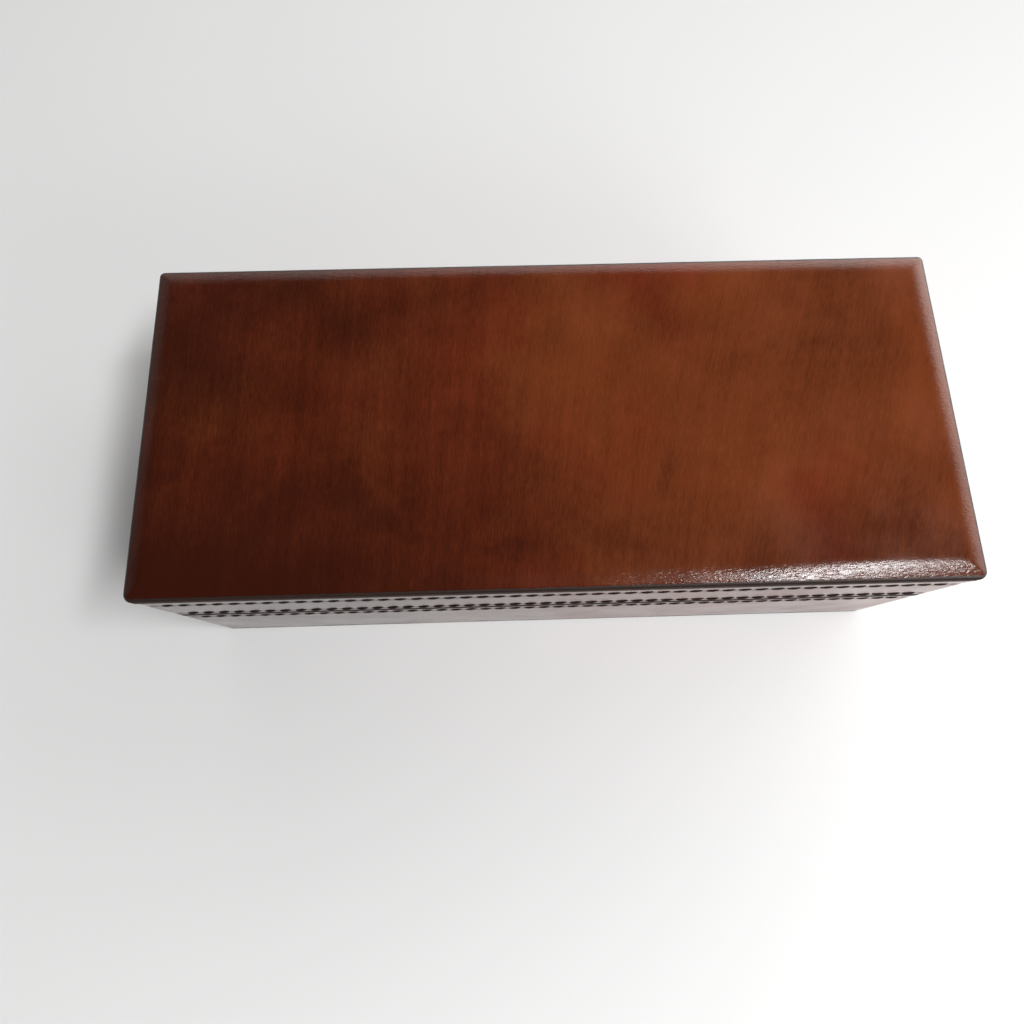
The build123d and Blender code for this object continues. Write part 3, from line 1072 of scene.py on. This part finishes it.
class CASE_OT_hinge_lining(bpy.types.Operator):
    """Make the suede strip inside the hinge, which dips between the back boards"""

    bl_idname = "case.hinge_lining"
    bl_label = "Hinge Lining"

    def execute(self, context):
        dip_half = 1.25 * MM + 0.4 * MM  # half of the gutter between the boards, and its shoulder
        deepest = STRIP_HIGH.y - SUEDE
        packing = 1.7  # packs the points towards the parting line
        sweep = Sweep()
        loose, glued = [], []
        steps = 56
        for i in range(steps + 1):
            share = i / steps * 2 - 1
            z = PARTING + (STRIP_HIGH.z - PARTING) * math.copysign(abs(share) ** packing, share)
            past = max(0.0, dip_half - abs(z - PARTING)) / dip_half
            dip = (deepest - STRIP_LOW.y) * (1 - (1 - past) ** 3) ** 1.2
            inset = HALF_WIDTH - STRIP_LOW.y - dip
            loose.append((inset, z, 0.0))
            glued.append((inset - SUEDE, z, 0.0))
        edges = sweep.profile(loose + glued[::-1], STRIP_HIGH.x)
        sweep.cap(sweep.straight(edges, 2 * STRIP_HIGH.x, (-1, 0, 0), 1.2 * MM))
        sweep.divide()
        for vert in sweep.bm.verts:
            if vert.co.y < STRIP_LOW.y + 0.3 * SUEDE:
                vert.co.y += abs(wander(vert.co, 160, 0.08 * MM, 4.0))
        strip = make_piece("hinge_strip", sweep.bm, "suede", ["hinge_lining"])
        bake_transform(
            strip, "base", "lid",
            start=(0, STRIP_LOW.y, PARTING - BEND_HALF), end=(0, STRIP_LOW.y, PARTING + BEND_HALF),
        )
        return {"FINISHED"}


# ---- pads

SIM_SCALE = 10  # the cloth is simulated this many times larger, where the solver is steady
SIM_FRAMES = 20


def pad_blank(low, high, facing, cell):
    """A flat pad with pulled-in edges, and its foot's points, which are glued down."""
    bm = bmesh.new()
    length, width = high.x - low.x, high.y - low.y
    pulled_in, pull_reach = 0.35 * (high.z - low.z), 1.6 * MM
    corner_cut = 0.6 * MM
    foot, crown = (low.z, high.z) if facing > 0 else (high.z, low.z)
    bmesh.ops.create_grid(bm, x_segments=round(length / cell), y_segments=round(width / cell), size=0.5)
    for vert in bm.verts:
        x, y = vert.co.x * length, vert.co.y * width
        inset = min(length / 2 - abs(x), width / 2 - abs(y))
        fallen = pulled_in * math.exp(-inset / pull_reach)
        vert.co = (x, y, crown - facing * fallen)
    rim = [e for e in bm.edges if e.is_boundary]
    corners = [v for v in bm.verts if len(v.link_edges) == 2]
    for vert in corners:
        vert.co.x *= 1 - corner_cut / (length / 2)
        vert.co.y *= 1 - corner_cut / (width / 2)
    for share in (0.5, 1.0):
        rim = edges_in(bmesh.ops.extrude_edge_only(bm, edges=rim)["geom"])
        for vert in ends(rim):
            vert.co.z += (foot - vert.co.z) * share
    ring = ends(rim)
    bmesh.ops.contextual_create(bm, geom=rim)
    bmesh.ops.recalc_face_normals(bm, faces=bm.faces)
    return bm, ring


def swell_pad(piece, glued, rise, pressure):
    """Blows the cover up with Cloth, keeps the glued points down and caps how far a point moves."""
    scene = bpy.context.scene
    start = [v.co.copy() for v in piece.data.vertices]
    piece.data.transform(Matrix.Scale(SIM_SCALE, 4))
    group = piece.vertex_groups.new(name="glued")
    group.add(glued, 1.0, "REPLACE")
    cloth = piece.modifiers.new("cloth", "CLOTH")
    for setting, value in (
        ("quality", 6), ("mass", 0.3), ("tension_stiffness", 25), ("compression_stiffness", 25),
        ("bending_stiffness", 1.5), ("use_pressure", True), ("uniform_pressure_force", pressure),
        ("vertex_group_mass", "glued"),
    ):
        setattr(cloth.settings, setting, value)
    cloth.settings.effector_weights.gravity = 0
    cloth.point_cache.frame_start, cloth.point_cache.frame_end = 1, SIM_FRAMES
    for number in range(1, SIM_FRAMES + 1):
        scene.frame_set(number)
    shown = piece.evaluated_get(bpy.context.evaluated_depsgraph_get())
    moved = [v.co / SIM_SCALE for v in shown.data.vertices]
    piece.modifiers.remove(cloth)
    piece.vertex_groups.remove(group)
    for vert, was, now in zip(piece.data.vertices, start, moved):
        shift = now - was
        vert.co = was + shift * min(1.0, rise / max(shift.length, 1e-9))
    scene.frame_set(1)


def suede_pad(name, low, high, facing, body, stands_for):
    """One foam pad under its suede cover."""
    look = settings("lining")
    bm, ring = pad_blank(low, high, facing, look.pad_cell)
    bm.verts.index_update()
    glued = sorted(v.index for v in ring)
    pad = make_piece(name, bm, "suede", stands_for, body)
    pad.data.shade_smooth()
    swell_pad(pad, glued, look.pad_rise, look.pressure)
    smooth = pad.modifiers.new("smooth", "SUBSURF")
    smooth.levels = smooth.render_levels = 1
    return pad


class CASE_OT_pads(bpy.types.Operator):
    """Make the pads in the floor and in the lid"""

    bl_idname = "case.pads"
    bl_label = "Pads"

    def execute(self, context):
        suede_pad(
            "floor_pad", FLOOR_PAD_LOW, FLOOR_PAD_HIGH, 1, "base", ["base_floor_lining", "base_floor_foam"]
        )
        suede_pad("lid_pad", LID_PAD_LOW, LID_PAD_HIGH, -1, "lid", ["lid_pad_lining", "lid_pad_foam"])
        return {"FINISHED"}


# ---- pieces kept from the frame


class CASE_OT_inner_pieces(bpy.types.Operator):
    """Give the boards, the filler card and the magnets their materials"""

    bl_idname = "case.inner_pieces"
    bl_label = "Boards and Magnets"

    def execute(self, context):
        for name, node in frame["nodes"].items():
            for word, material in (("board", greyboard), ("filler", greyboard), ("magnet", plated_magnet)):
                if word in name:
                    node.data.materials.clear()
                    node.data.materials.append(material())
        return {"FINISHED"}


# ---- stage


def area_light(name, place, target, size, power):
    """A soft square light that looks at a point."""
    light = bpy.data.lights.new(name, "AREA")
    light.shape = "RECTANGLE"
    light.size, light.size_y = size
    light.energy = power
    lamp = place_object(name, light)
    lamp.location = place
    lamp.rotation_mode = "QUATERNION"
    lamp.rotation_quaternion = (Vector(target) - Vector(place)).to_track_quat("-Z", "Y")


def light_from_low_down(n, stage):
    """Lights the world from near the horizon, more from the right, and leaves the ceiling dim."""
    x, y, z = n.apart()
    strength = n.times(n.ramp(z, 0.40, 0.71, stage.horizon, 0.0), n.ramp(x, -0.8, 0.9, 0.2, 1.7))
    strength = n.times(strength, n.ramp(y, -0.5, 0.7, 0.55, 1.6))
    n.set(color=(1.0, 0.99, 0.98, 1), strength=n.plus(strength, stage.ceiling))


class CASE_OT_stage(bpy.types.Operator):
    """Make the floor, the lights and the camera"""

    bl_idname = "case.stage"
    bl_label = "Stage"

    def execute(self, context):
        stage = settings("stage")
        bm = bmesh.new()
        bmesh.ops.create_grid(bm, x_segments=1, y_segments=1, size=stage.floor_size / 2)
        mesh = bpy.data.meshes.new("floor")
        bm.to_mesh(mesh)
        bm.free()
        mesh.materials.append(pale_floor())
        floor = place_object("floor", mesh)

        world = bpy.data.worlds.new("studio")
        context.scene.world = world
        light_from_low_down(Nodes(world, "Background", "Generated"), stage)
        area_light("window", (0.40, -0.185, 0.74), (0.04, -0.02, 0.05), (0.34, 0.08), stage.key)
        area_light("fill", (0.32, -0.32, 0.25), (0.03, 0, 0.0), (0.25, 0.2), stage.fill)
        context.scene.view_settings.view_transform = "Standard"

        lens = bpy.data.cameras.new("camera")
        lens.lens = stage.lens
        lens.sensor_width = 36
        lens.clip_start = 0.01
        camera = place_object("camera", lens)
        camera.location = stage.camera_place
        camera.rotation_euler = stage.camera_turn
        context.scene.camera = camera
        return {"FINISHED"}


# ---- panel and registration

OPERATORS = (
    CASE_OT_stage,
    CASE_OT_top_leather,
    CASE_OT_bottom_leather,
    CASE_OT_wall_leathers,
    CASE_OT_hinge_leather,
    CASE_OT_stitches,
    CASE_OT_wall_linings,
    CASE_OT_hinge_lining,
    CASE_OT_pads,
    CASE_OT_inner_pieces,
)
SETTINGS = {
    "case_leather": CaseLeather,
    "case_stitching": CaseStitching,
    "case_lining": CaseLining,
    "case_stage": CaseStage,
}


class CASE_PT_panel(bpy.types.Panel):
    """Lists the operators and the settings"""

    bl_idname = "CASE_PT_panel"
    bl_label = "Eyeglasses Case"
    bl_space_type = "VIEW_3D"
    bl_region_type = "UI"
    bl_category = "Eyeglasses Case"

    def draw(self, context):
        column = self.layout.column(align=True)
        for operator in OPERATORS:
            column.operator(operator.bl_idname)
        for name, group in SETTINGS.items():
            box = self.layout.box()
            for prop in group.__annotations__:
                box.prop(getattr(context.scene, name), prop)


def register():
    for cls in (*SETTINGS.values(), *OPERATORS, CASE_PT_panel):
        bpy.utils.register_class(cls)
    for name, group in SETTINGS.items():
        setattr(bpy.types.Scene, name, PointerProperty(type=group))


def unregister():
    for name in SETTINGS:
        delattr(bpy.types.Scene, name)
    for cls in (CASE_PT_panel, *reversed(OPERATORS), *reversed(tuple(SETTINGS.values()))):
        bpy.utils.unregister_class(cls)


def main():
    """Builds the whole case."""
    register()
    for operator in OPERATORS:
        group, name = operator.bl_idname.split(".")
        getattr(getattr(bpy.ops, group), name)()


if __name__ == "__main__":
    main()
